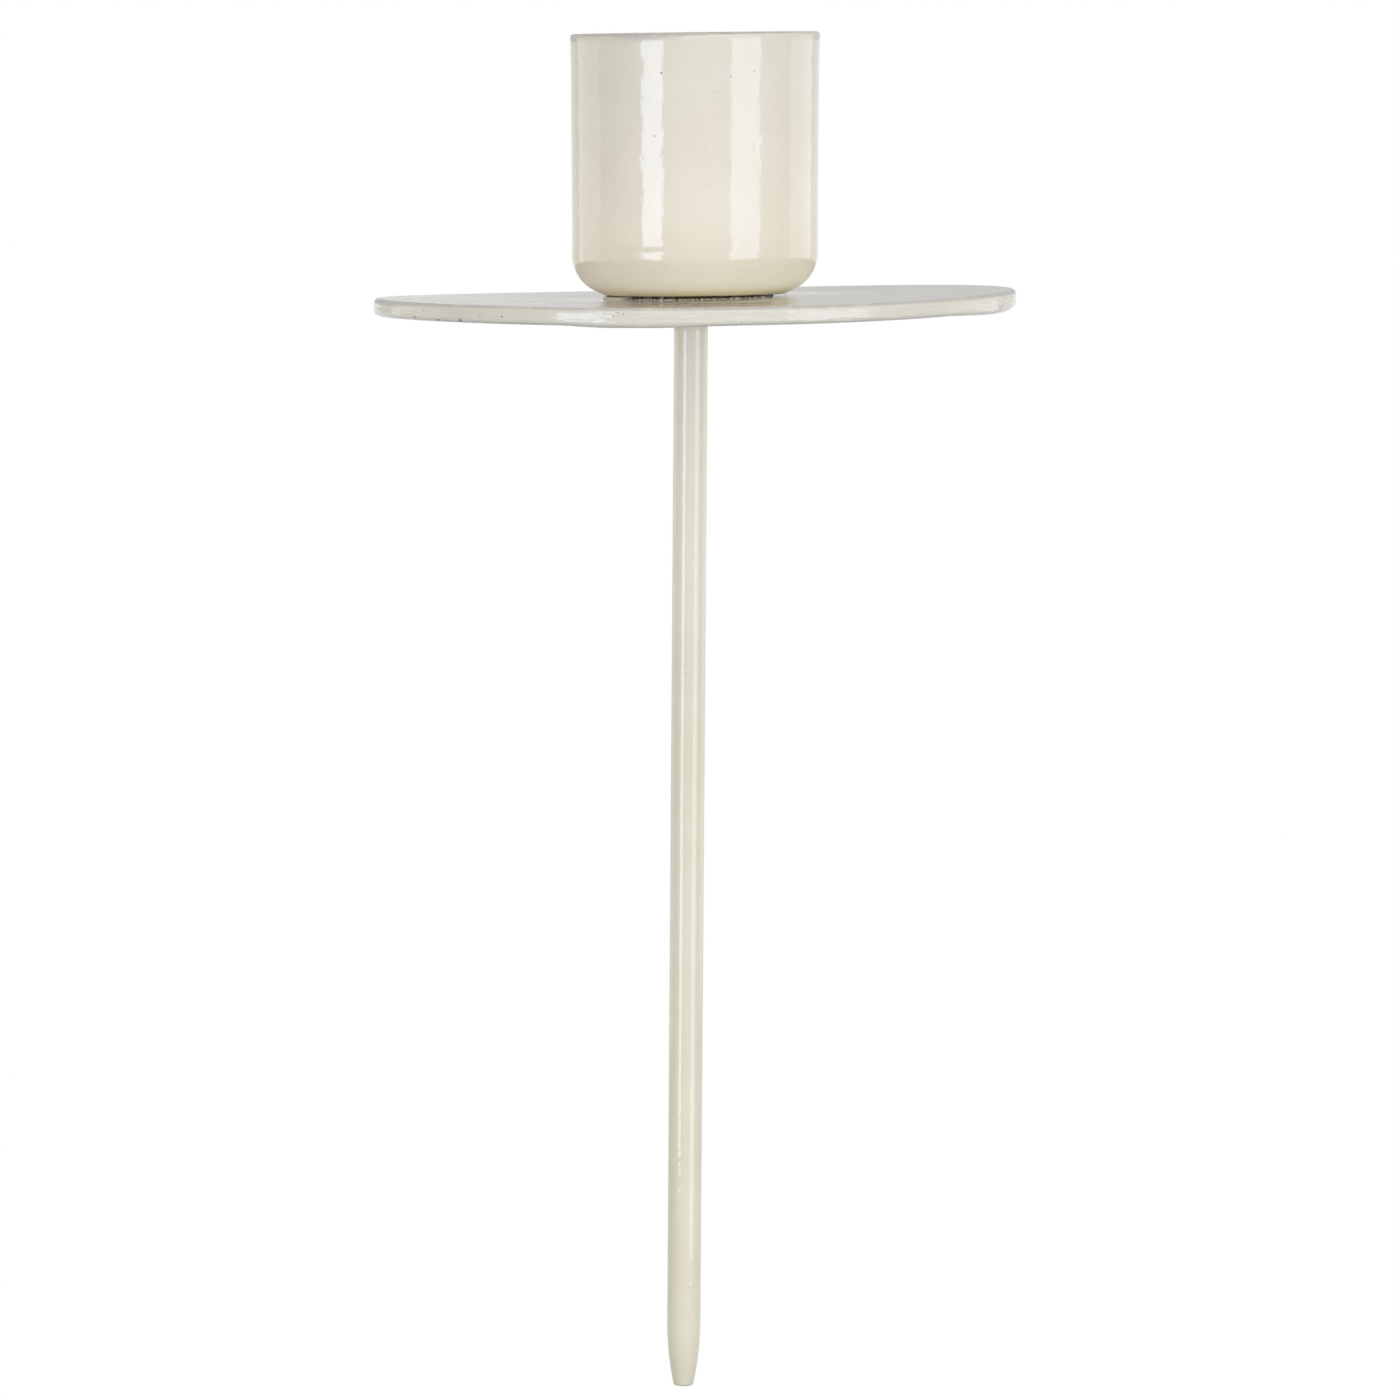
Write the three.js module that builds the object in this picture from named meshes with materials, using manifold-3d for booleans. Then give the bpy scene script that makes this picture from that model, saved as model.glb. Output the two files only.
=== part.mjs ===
// Taper candle holder on a spike. A drawn steel cup takes the foot of a dinner candle, a flat drip
// plate catches the wax, and the wire spike below is pushed into a wreath or a block of foam.
// Millimetres, +Z up. The origin is the centre of the plate's underside, the face that comes to rest
// on whatever the spike is pushed into.
import * as THREE from "three";
import { mergeVertices } from "three/addons/utils/BufferGeometryUtils.js";
import Module from "manifold-3d";

const degree = Math.PI / 180;

// Candle and cup. The cup is drawn from sheet, so its wall is the same thickness all over and leans
// outwards by a small draft angle.
const candleDiameter = 22;
const candleClearance = 0.5; // all round the candle, at the rim
const cupWall = 1;
const cupHeight = 26.25; // underside of the base to the rim
const cupDraft = 0.4 * degree;
const cupCornerRadius = 4.2; // outside, between the wall and the base
const lipRadius = 0.35; // both edges of the trimmed rim

// Drip plate, blanked from thicker sheet and tumbled, which takes the sharpness off both edges.
const plateDiameter = 64.3;
const plateThickness = 1.75;
const plateEdgeRadius = 0.5;

// Spike, a cut length of wire with a swaged blunt point.
const spikeDiameter = 3.4;
const spikeLength = 108.3; // plate underside to tip
const pointLength = 6.6;
const pointEndDiameter = 1.95; // where the point's curve would meet the end face
const pointEndRadius = 0.25;

// Projection welds between the cup and the plate. Each starts as a pip pressed out of the cup's
// floor, which leaves a dent inside. The squashed pips hold the cup a little off the plate.
const cupWeldCount = 3;
const cupWeldDiameter = 3;
const cupWeldBulge = 0.1;
const cupWeldCircle = 9; // diameter of the circle that the welds lie on
const cupStandOff = 0.3; // open seam under the cup
const dentDepth = 0.35;
const dentDiameter = 2.8;

// Weld bead that holds the end of the wire to the underside of the plate.
const beadLeg = 0.8;
const beadFit = 0.05; // between the bead and the wire
const beadFullness = 0.68; // 0.5 is a straight 45 degree face, more is a rounder bead

// Facets round each turned piece, and divisions along each curve of a profile.
const cupFacets = 80;
const plateFacets = 112;
const wireFacets = 40;
const pipFacets = 20;
const curveDivisions = 3;

// Heights and radii that several pieces share.
const plateRadius = plateDiameter / 2;
const spikeRadius = spikeDiameter / 2;
const plateTop = plateThickness;
const cupBase = plateTop + cupStandOff;
const cupFloor = cupBase + cupWall;
const rimHeight = cupBase + cupHeight;
const rimRadius = candleDiameter / 2 + candleClearance + cupWall;

const enamel = new THREE.MeshStandardMaterial({ color: 0xe2dac8, roughness: 0.2, metalness: 0 });
const bareSteel = new THREE.MeshStandardMaterial({ color: 0x8d867d, roughness: 0.5, metalness: 1 });

const wasm = await Module();
wasm.setup();

// Turns a profile, drawn as (radius, height) from the bottom up, about the Z axis.
function turned(profile, facets) {
  const points = profile.getPoints(curveDivisions);
  return new THREE.LatheGeometry(points, facets).rotateX(Math.PI / 2);
}

// A closed geometry as a solid that can be cut.
function solid(geometry) {
  const bare = geometry.clone();
  bare.deleteAttribute("normal");
  bare.deleteAttribute("uv");
  const merged = mergeVertices(bare);
  return new wasm.Manifold(
    new wasm.Mesh({
      numProp: 3,
      vertProperties: merged.attributes.position.array,
      triVerts: new Uint32Array(merged.index.array),
    }),
  );
}

// A cut solid as geometry again.
function geometryOf(cut) {
  const mesh = cut.getMesh();
  const geometry = new THREE.BufferGeometry();
  geometry.setAttribute("position", new THREE.BufferAttribute(mesh.vertProperties, 3));
  geometry.setIndex(new THREE.BufferAttribute(mesh.triVerts, 1));
  geometry.computeVertexNormals();
  return geometry;
}

function piece(name, geometry, material) {
  const mesh = new THREE.Mesh(geometry, material);
  mesh.name = name;
  return mesh;
}

// The places of the projection welds: evenly spaced on their circle, the first one at the back.
function cupWeldPlaces() {
  const places = [];
  for (let i = 0; i < cupWeldCount; i += 1) {
    const angle = 90 * degree + (i * 360 * degree) / cupWeldCount;
    const radius = cupWeldCircle / 2;
    places.push(new THREE.Vector2(radius * Math.cos(angle), radius * Math.sin(angle)));
  }
  return places;
}

// Outside and inside of the cup as one closed skin. The two corner curves share a centre, and so
// the wall keeps its thickness all the way from the floor to the lip.
function cupShell() {
  const slope = Math.tan(cupDraft);
  const wallAcross = cupWall / Math.cos(cupDraft); // the wall measured level
  const outsideAt = (height) => rimRadius - (rimHeight - height) * slope;

  const cornerHeight = cupBase + cupCornerRadius;
  const cornerEnd = cornerHeight - cupCornerRadius * Math.sin(cupDraft);
  const cornerCentre = outsideAt(cornerEnd) - cupCornerRadius * Math.cos(cupDraft);
  const innerCorner = cupCornerRadius - cupWall;

  const lipHeight = rimHeight - lipRadius;
  const lipInset = lipRadius / Math.cos(cupDraft);
  const outerLip = outsideAt(lipHeight) - lipInset;
  const innerLip = outsideAt(lipHeight) - wallAcross + lipInset;

  const profile = new THREE.Path();
  profile.moveTo(0, cupBase);
  profile.lineTo(cornerCentre, cupBase);
  profile.absarc(cornerCentre, cornerHeight, cupCornerRadius, -90 * degree, -cupDraft);
  profile.absarc(outerLip, lipHeight, lipRadius, -cupDraft, 90 * degree);
  profile.absarc(innerLip, lipHeight, lipRadius, 90 * degree, 180 * degree - cupDraft);
  profile.absarc(cornerCentre, cornerHeight, innerCorner, -cupDraft, -90 * degree, true);
  profile.lineTo(0, cupFloor);
  return turned(profile, cupFacets);
}

// Round-nosed punch that presses one pip, reaching from the bottom of its dent to above the floor.
function dentPunch() {
  const dentRadius = dentDiameter / 2;
  const noseRadius = (dentRadius ** 2 + dentDepth ** 2) / (2 * dentDepth);
  const reach = Math.asin(dentRadius / noseRadius);
  const profile = new THREE.Path();
  profile.absarc(0, noseRadius - dentDepth, noseRadius, -90 * degree, reach - 90 * degree);
  profile.lineTo(dentRadius, dentDepth);
  profile.lineTo(0, dentDepth);
  return turned(profile, pipFacets);
}

function candleCup() {
  let cup = solid(cupShell());
  const punch = dentPunch();
  for (const place of cupWeldPlaces()) {
    cup = cup.subtract(solid(punch.clone().translate(place.x, place.y, cupFloor)));
  }
  return piece("candle_cup", geometryOf(cup), enamel);
}

// The underside has an edge just outside the weld bead, where the ring that can rest begins.
function dripPlate() {
  const round = plateEdgeRadius;
  const rim = plateRadius - round;
  const beadFoot = spikeRadius + beadFit + beadLeg;
  const profile = new THREE.Path();
  profile.moveTo(0, 0);
  profile.lineTo(beadFoot + beadFit, 0);
  profile.lineTo(rim, 0);
  profile.absarc(rim, round, round, -90 * degree, 0);
  profile.absarc(rim, plateTop - round, round, 0, 90 * degree);
  profile.lineTo(0, plateTop);
  return piece("drip_plate", turned(profile, plateFacets), enamel);
}

// The point is one long arc that runs on from the wire without a step, cut off square and eased.
function spike() {
  const tip = -spikeLength;
  const pointStart = tip + pointLength;
  const drop = spikeRadius - pointEndDiameter / 2;
  const pointArc = (pointLength ** 2 + drop ** 2) / (2 * drop);
  const pointCentre = spikeRadius - pointArc;
  const easeHeight = tip + pointEndRadius;
  const easeRise = pointLength - pointEndRadius;
  const easeCentre = pointCentre + Math.sqrt((pointArc - pointEndRadius) ** 2 - easeRise ** 2);
  const easeEnd = -Math.atan2(easeRise, easeCentre - pointCentre);

  const profile = new THREE.Path();
  profile.moveTo(0, tip);
  profile.lineTo(easeCentre, tip);
  profile.absarc(easeCentre, easeHeight, pointEndRadius, -90 * degree, easeEnd);
  profile.absarc(pointCentre, pointStart, pointArc, easeEnd, 0);
  profile.lineTo(spikeRadius, 0);
  profile.lineTo(0, 0);
  return piece("spike", turned(profile, wireFacets), enamel);
}

function spikeWeld() {
  const bore = spikeRadius + beadFit;
  const full = beadLeg * beadFullness;
  const profile = new THREE.Path();
  profile.moveTo(bore, -beadLeg);
  profile.quadraticCurveTo(bore + full, -full, bore + beadLeg, 0);
  profile.lineTo(bore, 0);
  profile.lineTo(bore, -beadLeg);
  return piece("spike_weld", turned(profile, wireFacets), enamel);
}

function cupWelds() {
  const radius = cupWeldDiameter / 2;
  const waist = radius + cupWeldBulge * 2;
  const profile = new THREE.Path();
  profile.moveTo(0, plateTop);
  profile.lineTo(radius, plateTop);
  profile.quadraticCurveTo(waist, (plateTop + cupBase) / 2, radius, cupBase);
  profile.lineTo(0, cupBase);
  const pip = turned(profile, pipFacets);
  return cupWeldPlaces().map((place, i) => {
    const weld = piece(`cup_weld_${i + 1}`, pip, bareSteel);
    weld.position.set(place.x, place.y, 0);
    return weld;
  });
}

const candleHolder = new THREE.Group();
candleHolder.add(candleCup(), dripPlate(), spike(), spikeWeld(), ...cupWelds());

export default candleHolder;
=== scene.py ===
"""Looks of a cream enamelled spike holder for one dinner candle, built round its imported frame. The
sizes, heights and places of its pieces are in millimetres."""
import math

import bmesh
import bpy
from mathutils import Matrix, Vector, noise


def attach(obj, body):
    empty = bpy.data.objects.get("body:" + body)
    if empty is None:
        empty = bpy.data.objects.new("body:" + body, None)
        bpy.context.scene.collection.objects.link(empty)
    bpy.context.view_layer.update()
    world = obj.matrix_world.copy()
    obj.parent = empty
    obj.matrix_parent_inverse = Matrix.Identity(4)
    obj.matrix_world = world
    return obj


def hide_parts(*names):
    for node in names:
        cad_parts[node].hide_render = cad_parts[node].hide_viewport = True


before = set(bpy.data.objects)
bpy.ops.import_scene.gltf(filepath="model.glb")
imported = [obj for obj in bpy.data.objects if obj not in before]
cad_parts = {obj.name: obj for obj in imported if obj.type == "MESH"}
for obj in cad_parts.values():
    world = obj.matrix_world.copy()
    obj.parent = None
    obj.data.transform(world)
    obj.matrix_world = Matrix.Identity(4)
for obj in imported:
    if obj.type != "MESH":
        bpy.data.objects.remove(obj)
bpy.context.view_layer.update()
MM = 0.001


# Camera. A long lens a few millimetres above the cup's rim, pitched down so that the spike's tip
# comes to the foot of the picture. It sees the plate's top from about two degrees above.
CAMERA_LENS = 210
CAMERA_BACK = 818.17 * MM
CAMERA_RIGHT = 0.50 * MM
CAMERA_HEIGHT = 32.867 * MM
CAMERA_PITCH = math.radians(4.9955)

camera_data = bpy.data.cameras.new("camera")
camera_data.lens = CAMERA_LENS
camera_data.sensor_width = 36
camera_data.clip_end = 200
camera = bpy.data.objects.new("camera", camera_data)
camera.location = (CAMERA_RIGHT, -CAMERA_BACK, CAMERA_HEIGHT)
camera.rotation_euler = (math.radians(90) - CAMERA_PITCH, 0, 0)
bpy.context.scene.collection.objects.link(camera)
bpy.context.scene.camera = camera
bpy.context.scene.view_settings.view_transform = "Standard"


# Floor. A wide white sheet some way below the tip, because the holder is shown held up. It looks
# white to the eye and in the gloss, still takes the holder's shadow close to it, and is clear to
# anyone who looks up from below it.
FLOOR_HEIGHT = -165 * MM
FLOOR_REACH = 60
FLOOR_WHITE = (0.32, 0.32, 0.32, 1)
SHADE_NEAR = 110 * MM
SHADE_FAR = 290 * MM
SHADE_SHARE = 0.45


def node(tree, kind, **settings):
    """A new shader node with its settings, where a name that matches a socket sets that socket."""
    made = tree.nodes.new(kind)
    for key, value in settings.items():
        if key in made.inputs:
            made.inputs[key].default_value = value
        else:
            setattr(made, key, value)
    return made


def new_material(name):
    """An empty material and its tree."""
    material = bpy.data.materials.new(name)
    material.use_nodes = True
    material.node_tree.nodes.clear()
    return material, material.node_tree


def ramp(tree, value, start, end, low, high):
    """A value that passes smoothly from low to high as another goes from start to end."""
    made = node(tree, "ShaderNodeMapRange", interpolation_type="SMOOTHSTEP")
    made.inputs["From Min"].default_value = start
    made.inputs["From Max"].default_value = end
    made.inputs["To Min"].default_value = low
    made.inputs["To Max"].default_value = high
    tree.links.new(value, made.inputs["Value"])
    return made.outputs["Result"]


def seen_directly(tree):
    """1 on rays that show the background itself: to the eye, in gloss and through glass."""
    path = node(tree, "ShaderNodeLightPath")
    gloss = node(tree, "ShaderNodeMath", operation="MAXIMUM")
    either = node(tree, "ShaderNodeMath", operation="MAXIMUM")
    tree.links.new(path.outputs["Is Glossy Ray"], gloss.inputs[0])
    tree.links.new(path.outputs["Is Transmission Ray"], gloss.inputs[1])
    tree.links.new(path.outputs["Is Camera Ray"], either.inputs[0])
    tree.links.new(gloss.outputs[0], either.inputs[1])
    return either.outputs[0]


def floor_material():
    """White wherever it is seen directly, matt to the light that it throws back, and clear from
    below. Under the holder it stays matt in part, and so takes its shadow."""
    material, tree = new_material("floor_white")
    link = tree.links.new
    place = node(tree, "ShaderNodeTexCoord")
    away = node(tree, "ShaderNodeVectorMath", operation="LENGTH")
    share = node(tree, "ShaderNodeMath", operation="MULTIPLY")
    matt = node(tree, "ShaderNodeBsdfDiffuse", Color=FLOOR_WHITE)
    white = node(tree, "ShaderNodeEmission", Color=(1, 1, 1, 1), Strength=1)
    mix = node(tree, "ShaderNodeMixShader")
    facing = node(tree, "ShaderNodeNewGeometry")
    clear = node(tree, "ShaderNodeBsdfTransparent")
    one_sided = node(tree, "ShaderNodeMixShader")
    out = node(tree, "ShaderNodeOutputMaterial")
    link(place.outputs["Object"], away.inputs[0])
    link(ramp(tree, away.outputs["Value"], SHADE_NEAR, SHADE_FAR, 1 - SHADE_SHARE, 1),
         share.inputs[0])
    link(seen_directly(tree), share.inputs[1])
    link(share.outputs[0], mix.inputs["Fac"])
    link(matt.outputs[0], mix.inputs[1])
    link(white.outputs[0], mix.inputs[2])
    link(facing.outputs["Backfacing"], one_sided.inputs["Fac"])
    link(mix.outputs[0], one_sided.inputs[1])
    link(clear.outputs[0], one_sided.inputs[2])
    link(one_sided.outputs[0], out.inputs["Surface"])
    return material


floor_mesh = bpy.data.meshes.new("floor")
floor_mesh.from_pydata(
    [(x * FLOOR_REACH, y * FLOOR_REACH, 0) for x, y in ((-1, -1), (1, -1), (1, 1), (-1, 1))],
    [], [(0, 1, 2, 3)])
floor_mesh.materials.append(floor_material())
floor = bpy.data.objects.new("floor", floor_mesh)
floor.location = (0, 0, FLOOR_HEIGHT)
bpy.context.scene.collection.objects.link(floor)


# Studio light. A pale tent, white below eye level and grey above it, which is what the plate's top
# mirrors. It is darker on the left and glows in front, above the camera. Two strip boxes in front
# show as the bright bands in the gloss, and two wide dim panels behind light the sides.
TENT_GREY = 0.57
TENT_TOP = 0.53
TENT_LEFT = 0.62
GREY_FROM = (-0.05, 0.35)
GREY_TO = (5, 18)
LEFT_FROM = (-0.9, -0.1)
FRONT_GLOW = 0.95
GLOW_FROM = (0.1, -0.75, 0.65)
GLOW_EDGE = (50, 15)
STRIP_TINT = (0.87, 1.0, 1.24)


def room():
    """The tent: its level by height, the glow in front, and the darker left side."""
    world = bpy.data.worlds.new("room")
    bpy.context.scene.world = world
    world.use_nodes = True
    tree = world.node_tree
    tree.nodes.clear()
    link = tree.links.new
    place = node(tree, "ShaderNodeTexCoord")
    split = node(tree, "ShaderNodeSeparateXYZ")
    low_band = node(tree, "ShaderNodeMath", operation="ADD")
    towards = node(tree, "ShaderNodeVectorMath", operation="DOT_PRODUCT")
    towards.inputs[1].default_value = Vector(GLOW_FROM).normalized()
    glow_none, glow_full = (math.cos(math.radians(angle)) for angle in GLOW_EDGE)
    both = node(tree, "ShaderNodeMath", operation="ADD")
    level = node(tree, "ShaderNodeMath", operation="MULTIPLY")
    background = node(tree, "ShaderNodeBackground", Color=(1, 1, 1, 1))
    out = node(tree, "ShaderNodeOutputWorld")
    link(place.outputs["Generated"], split.inputs[0])
    height = split.outputs["Z"]
    grey_start, grey_full = (math.sin(math.radians(angle)) for angle in GREY_FROM)
    grey_end, top_start = (math.sin(math.radians(angle)) for angle in GREY_TO)
    link(ramp(tree, height, grey_start, grey_full, 1, TENT_GREY), low_band.inputs[0])
    link(ramp(tree, height, grey_end, top_start, 0, TENT_TOP - TENT_GREY), low_band.inputs[1])
    link(place.outputs["Generated"], towards.inputs[0])
    link(low_band.outputs[0], both.inputs[0])
    link(ramp(tree, towards.outputs["Value"], glow_none, glow_full, 0, FRONT_GLOW), both.inputs[1])
    link(both.outputs[0], level.inputs[0])
    link(ramp(tree, split.outputs["X"], *LEFT_FROM, TENT_LEFT, 1), level.inputs[1])
    link(level.outputs[0], background.inputs["Strength"])
    link(background.outputs[0], out.inputs["Surface"])


def soft_box(name, azimuth, away, width, low, high, brightness, tint=STRIP_TINT):
    """An upright soft box that faces the holder. Azimuth is in degrees from the camera's side,
    positive to the right, and brightness is 1 for white."""
    turn = math.radians(azimuth)
    lamp = bpy.data.lights.new(name, "AREA")
    lamp.shape = "RECTANGLE"
    lamp.color = tint
    lamp.size = width
    lamp.size_y = high - low
    lamp.energy = brightness * math.pi * lamp.size * lamp.size_y
    box = bpy.data.objects.new(name, lamp)
    box.location = (away * math.sin(turn), -away * math.cos(turn), (low + high) / 2)
    box.rotation_euler = (math.radians(90), 0, turn)
    box.visible_camera = False
    bpy.context.scene.collection.objects.link(box)


room()
soft_box("strip_left", azimuth=-40, away=460 * MM, width=160 * MM, low=-150 * MM, high=60 * MM,
         brightness=4.5)
soft_box("strip_right", azimuth=47.6, away=400 * MM, width=205 * MM, low=-162 * MM, high=60 * MM,
         brightness=2.8)
soft_box("panel_left", azimuth=-118, away=600 * MM, width=420 * MM, low=-150 * MM, high=60 * MM,
         brightness=0.75, tint=(1.06, 1.0, 0.80))
soft_box("panel_right", azimuth=118, away=600 * MM, width=420 * MM, low=-150 * MM, high=60 * MM,
         brightness=0.95, tint=(0.97, 1.0, 0.97))


# Candle cup. Drawn from 1 mm steel sheet, welded down and enamelled with the rest: straight walls
# that open upwards a little, a round base corner, and a lip where the paint has thickened. Three
# shallow dents in its floor are where the pips for the welds were pressed.
CUP_BASE = 2.05
CUP_RIM = 28.23
CUP_RADIUS = 12.5
CUP_WALL = 1.0
CUP_DRAFT = math.radians(0.4)
CUP_SLANT = 0.0115
SPRUNG_SIDES = 0.10
SPRUNG_FRONT = 0.26
SPRUNG_RADII = (6.3, 8.6)
SPRUNG_HEIGHTS = (0.5, 6)
CUP_CORNER = 4.2
BASE_EDGE = math.radians(25)
BASE_EDGE_ROUND = 0.05
LIP_ROUND = 0.35
LIP_PAINT = 0.05
LIP_PAINT_BELOW = 1.1
LIP_PAINT_SPREAD = 1.3
LIP_PAINT_HEIGHTS = (2.6, 7)
DENT_RADIUS = 1.4
DENT_DEPTH = 0.35
DENTS = 3
WELD_CIRCLE = 4.5
CUP_SIDES = 256
CREAM = (0.840, 0.770, 0.632)
CREAM_DEEP = (0.818, 0.746, 0.604)
# Painted light: a paler cream low on the cup's corner and on the plate round the cup, for bounced
# light.
CREAM_PAINTED_LIGHT = (0.945, 0.900, 0.782)
# Painted light: a pale yellow for the last millimetre above the seam, a painted bounce from the
# plate.
CREAM_PAINTED_BOUNCE = (0.980, 0.900, 0.650)
EDGE_GREY = (0.520, 0.505, 0.460)
PIT_BROWN = (0.300, 0.270, 0.220)
PAINT_IOR = 1.5
PAINT_CLOUDS = (140, 3, 0.55)
PAINT_FLECKS = (330, 3, 0.6)
PAINT_DULLNESS = (0.03, 0.07)
GREY_EDGE_DULLNESS = 1.5
PEEL_LAYERS = ((260, 1, 0.4, 0.018), (900, 1.5, 0.5, 0.020), (2600, 1, 0.5, 0.004))
PIT_DEPTH = 0.03
RUN_HEIGHT = 0.09
SPOT_CORE = 0.35
LIP_GREY = 0.85
LIP_GREY_REACH = 0.07
LIP_GREY_LEFT = 0.10
LIP_GREY_LEFT_X = (-9, 2)
LIP_GREY_FRONT = 0.22
LIP_GREY_ANGLE = -114
LIP_GREY_SPREAD = 20
LIP_GREY_WAVE = 0.015
LIP_GREY_WAVES = 2.3
LIP_GREY_FADE = 0.12
PAINTED_LIGHT_HEIGHT = 3.6
PAINTED_BOUNCE_HEIGHT = 1.0
BASE_HIDDEN = 6
FRONT_ONLY = (-9, -8)
CUP_PITS = ((-3.3, 24.35, 0.17), (-4.0, 18.15, 0.12), (-11.7, 25.35, 0.14), (3.6, 24.0, 0.13),
            (5.9, 24.5, 0.11), (0.3, 21.9, 0.08), (-0.9, 16.2, 0.07))
CUP_SMEARS = ((1.7, 22.55, 0.14), (2.0, 22.5, 0.16), (2.3, 22.55, 0.14), (0.5, 18.95, 0.16),
              (1.0, 16.85, 0.15), (1.3, 16.8, 0.17), (1.9, 16.75, 0.15), (2.2, 16.8, 0.13),
              (1.1, 13.25, 0.15), (1.5, 13.2, 0.17), (2.0, 13.25, 0.14), (4.7, 12.9, 0.14),
              (5.0, 12.7, 0.13), (5.4, 12.6, 0.13), (5.8, 12.6, 0.12), (6.2, 12.7, 0.13),
              (6.5, 12.9, 0.12))
MARKS_FAINT = 0.14
SCRATCH_HEIGHTS = (21.2, 11.5)
SCRATCH_X = (4.95, 6.2)
SCRATCH_FADES = ((12.6, 13.2), (20.6, 21.3))
SCRATCH_WIDTH = (0.03, 0.12)
SCRATCH_SWAY = 0.6
RUN_BELOW = (6.88, 7.58)
RUN_ABOVE = (2.4, 6.6)
RUN_X = ((-7.6, -6.0), (-3.0, -1.4))
RUN_SWAY = 0.5


def arc(centre_r, centre_z, radius, start, end, steps):
    """Points on an arc in the (radius, height) plane, angles in degrees from level outwards."""
    points = []
    for i in range(steps + 1):
        angle = math.radians(start + (end - start) * i / steps)
        points.append((centre_r + radius * math.cos(angle), centre_z + radius * math.sin(angle)))
    return points


def straight(start, end, steps):
    """Points between two points, both ends left out."""
    return [tuple(a + (b - a) * i / steps for a, b in zip(start, end)) for i in range(1, steps)]


def ease(value, start, end):
    """0 before start, 1 after end, smooth between."""
    share = min(max((value - start) / (end - start), 0), 1)
    return share * share * (3 - 2 * share)


def turned(name, profile, sides, shift=None, **paint):
    """A smooth closed mesh object turned from a (radius, height) profile in millimetres, which runs
    from the axis at the bottom round the outside and back to the axis, or closes on itself. shift
    gives each point's own small offset. Each paint function gives a share from 0 to 1 at a point
    as drawn, which is stored under the function's name for the enamel to read."""
    build = bmesh.new()
    layers = [(build.verts.layers.float.new(key), share) for key, share in paint.items()]
    rings = []
    for radius, height in profile:
        on_axis = radius < 1e-6
        ring = []
        for i in range(1 if on_axis else sides):
            angle = 2 * math.pi * i / sides
            point = Vector((radius * math.cos(angle), radius * math.sin(angle), height))
            offset = shift(point) if shift else Vector((0, 0, 0))
            corner = build.verts.new((point + offset) * MM)
            for layer, share in layers:
                corner[layer] = share(point)
            ring.append(corner)
        rings.append(ring)
    pairs = list(zip(rings, rings[1:]))
    if len(rings[0]) > 1:
        pairs.append((rings[-1], rings[0]))
    for low, high in pairs:
        for i in range(sides):
            j = (i + 1) % sides
            corners = [low[i % len(low)], low[j % len(low)],
                       high[j % len(high)], high[i % len(high)]]
            corners = [v for k, v in enumerate(corners) if v not in corners[:k]]
            if len(corners) > 2:
                build.faces.new(corners).smooth = True
    bmesh.ops.recalc_face_normals(build, faces=build.faces)
    mesh = bpy.data.meshes.new(name)
    build.to_mesh(mesh)
    build.free()
    piece = bpy.data.objects.new(name, mesh)
    bpy.context.scene.collection.objects.link(piece)
    return piece


def spots(tree, place, points):
    """1 on small round spots in the paint, each given as (x, y, z, radius) in millimetres."""
    total = None
    for x, y, z, radius in points:
        away = node(tree, "ShaderNodeVectorMath", operation="DISTANCE")
        away.inputs[1].default_value = (x * MM, y * MM, z * MM)
        tree.links.new(place, away.inputs[0])
        spot = ramp(tree, away.outputs["Value"], SPOT_CORE * radius * MM, radius * MM, 1, 0)
        total = larger(tree, total, spot) if total else spot
    return total


def larger(tree, one, other):
    """The larger of two shares."""
    both = node(tree, "ShaderNodeMath", operation="MAXIMUM")
    tree.links.new(one, both.inputs[0])
    tree.links.new(other, both.inputs[1])
    return both.outputs[0]


def times(tree, one, other):
    """One share of another, which is a socket or a number."""
    product = node(tree, "ShaderNodeMath", operation="MULTIPLY")
    tree.links.new(one, product.inputs[0])
    if isinstance(other, float):
        product.inputs[1].default_value = other
    else:
        tree.links.new(other, product.inputs[1])
    return product.outputs[0]


def mottle(tree, place, scale, detail, roughness):
    """A random pattern from 0 to 1, finer for a higher scale."""
    texture = node(tree, "ShaderNodeTexNoise", Scale=scale, Detail=detail, Roughness=roughness)
    tree.links.new(place, texture.inputs["Vector"])
    return texture.outputs["Fac"]


def stored(tree, name):
    """A share that a mesh holds at each of its points."""
    return node(tree, "ShaderNodeAttribute", attribute_name=name).outputs["Fac"]


def blended(tree, share, below, above):
    """One colour passing into another; each is a socket or three numbers."""
    mix = node(tree, "ShaderNodeMix", data_type="RGBA")
    tree.links.new(share, mix.inputs[0])
    for slot, colour in ((6, below), (7, above)):
        if isinstance(colour, tuple):
            mix.inputs[slot].default_value = (*colour, 1)
        else:
            tree.links.new(colour, mix.inputs[slot])
    return mix.outputs[2]


def raised(tree, height, distance, normal=None):
    """The normal of a surface that a pattern raises by distance metres."""
    bump = node(tree, "ShaderNodeBump", Strength=1, Distance=abs(distance), invert=distance < 0)
    tree.links.new(height, bump.inputs["Height"])
    if normal:
        tree.links.new(normal, bump.inputs["Normal"])
    return bump.outputs["Normal"]


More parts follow.
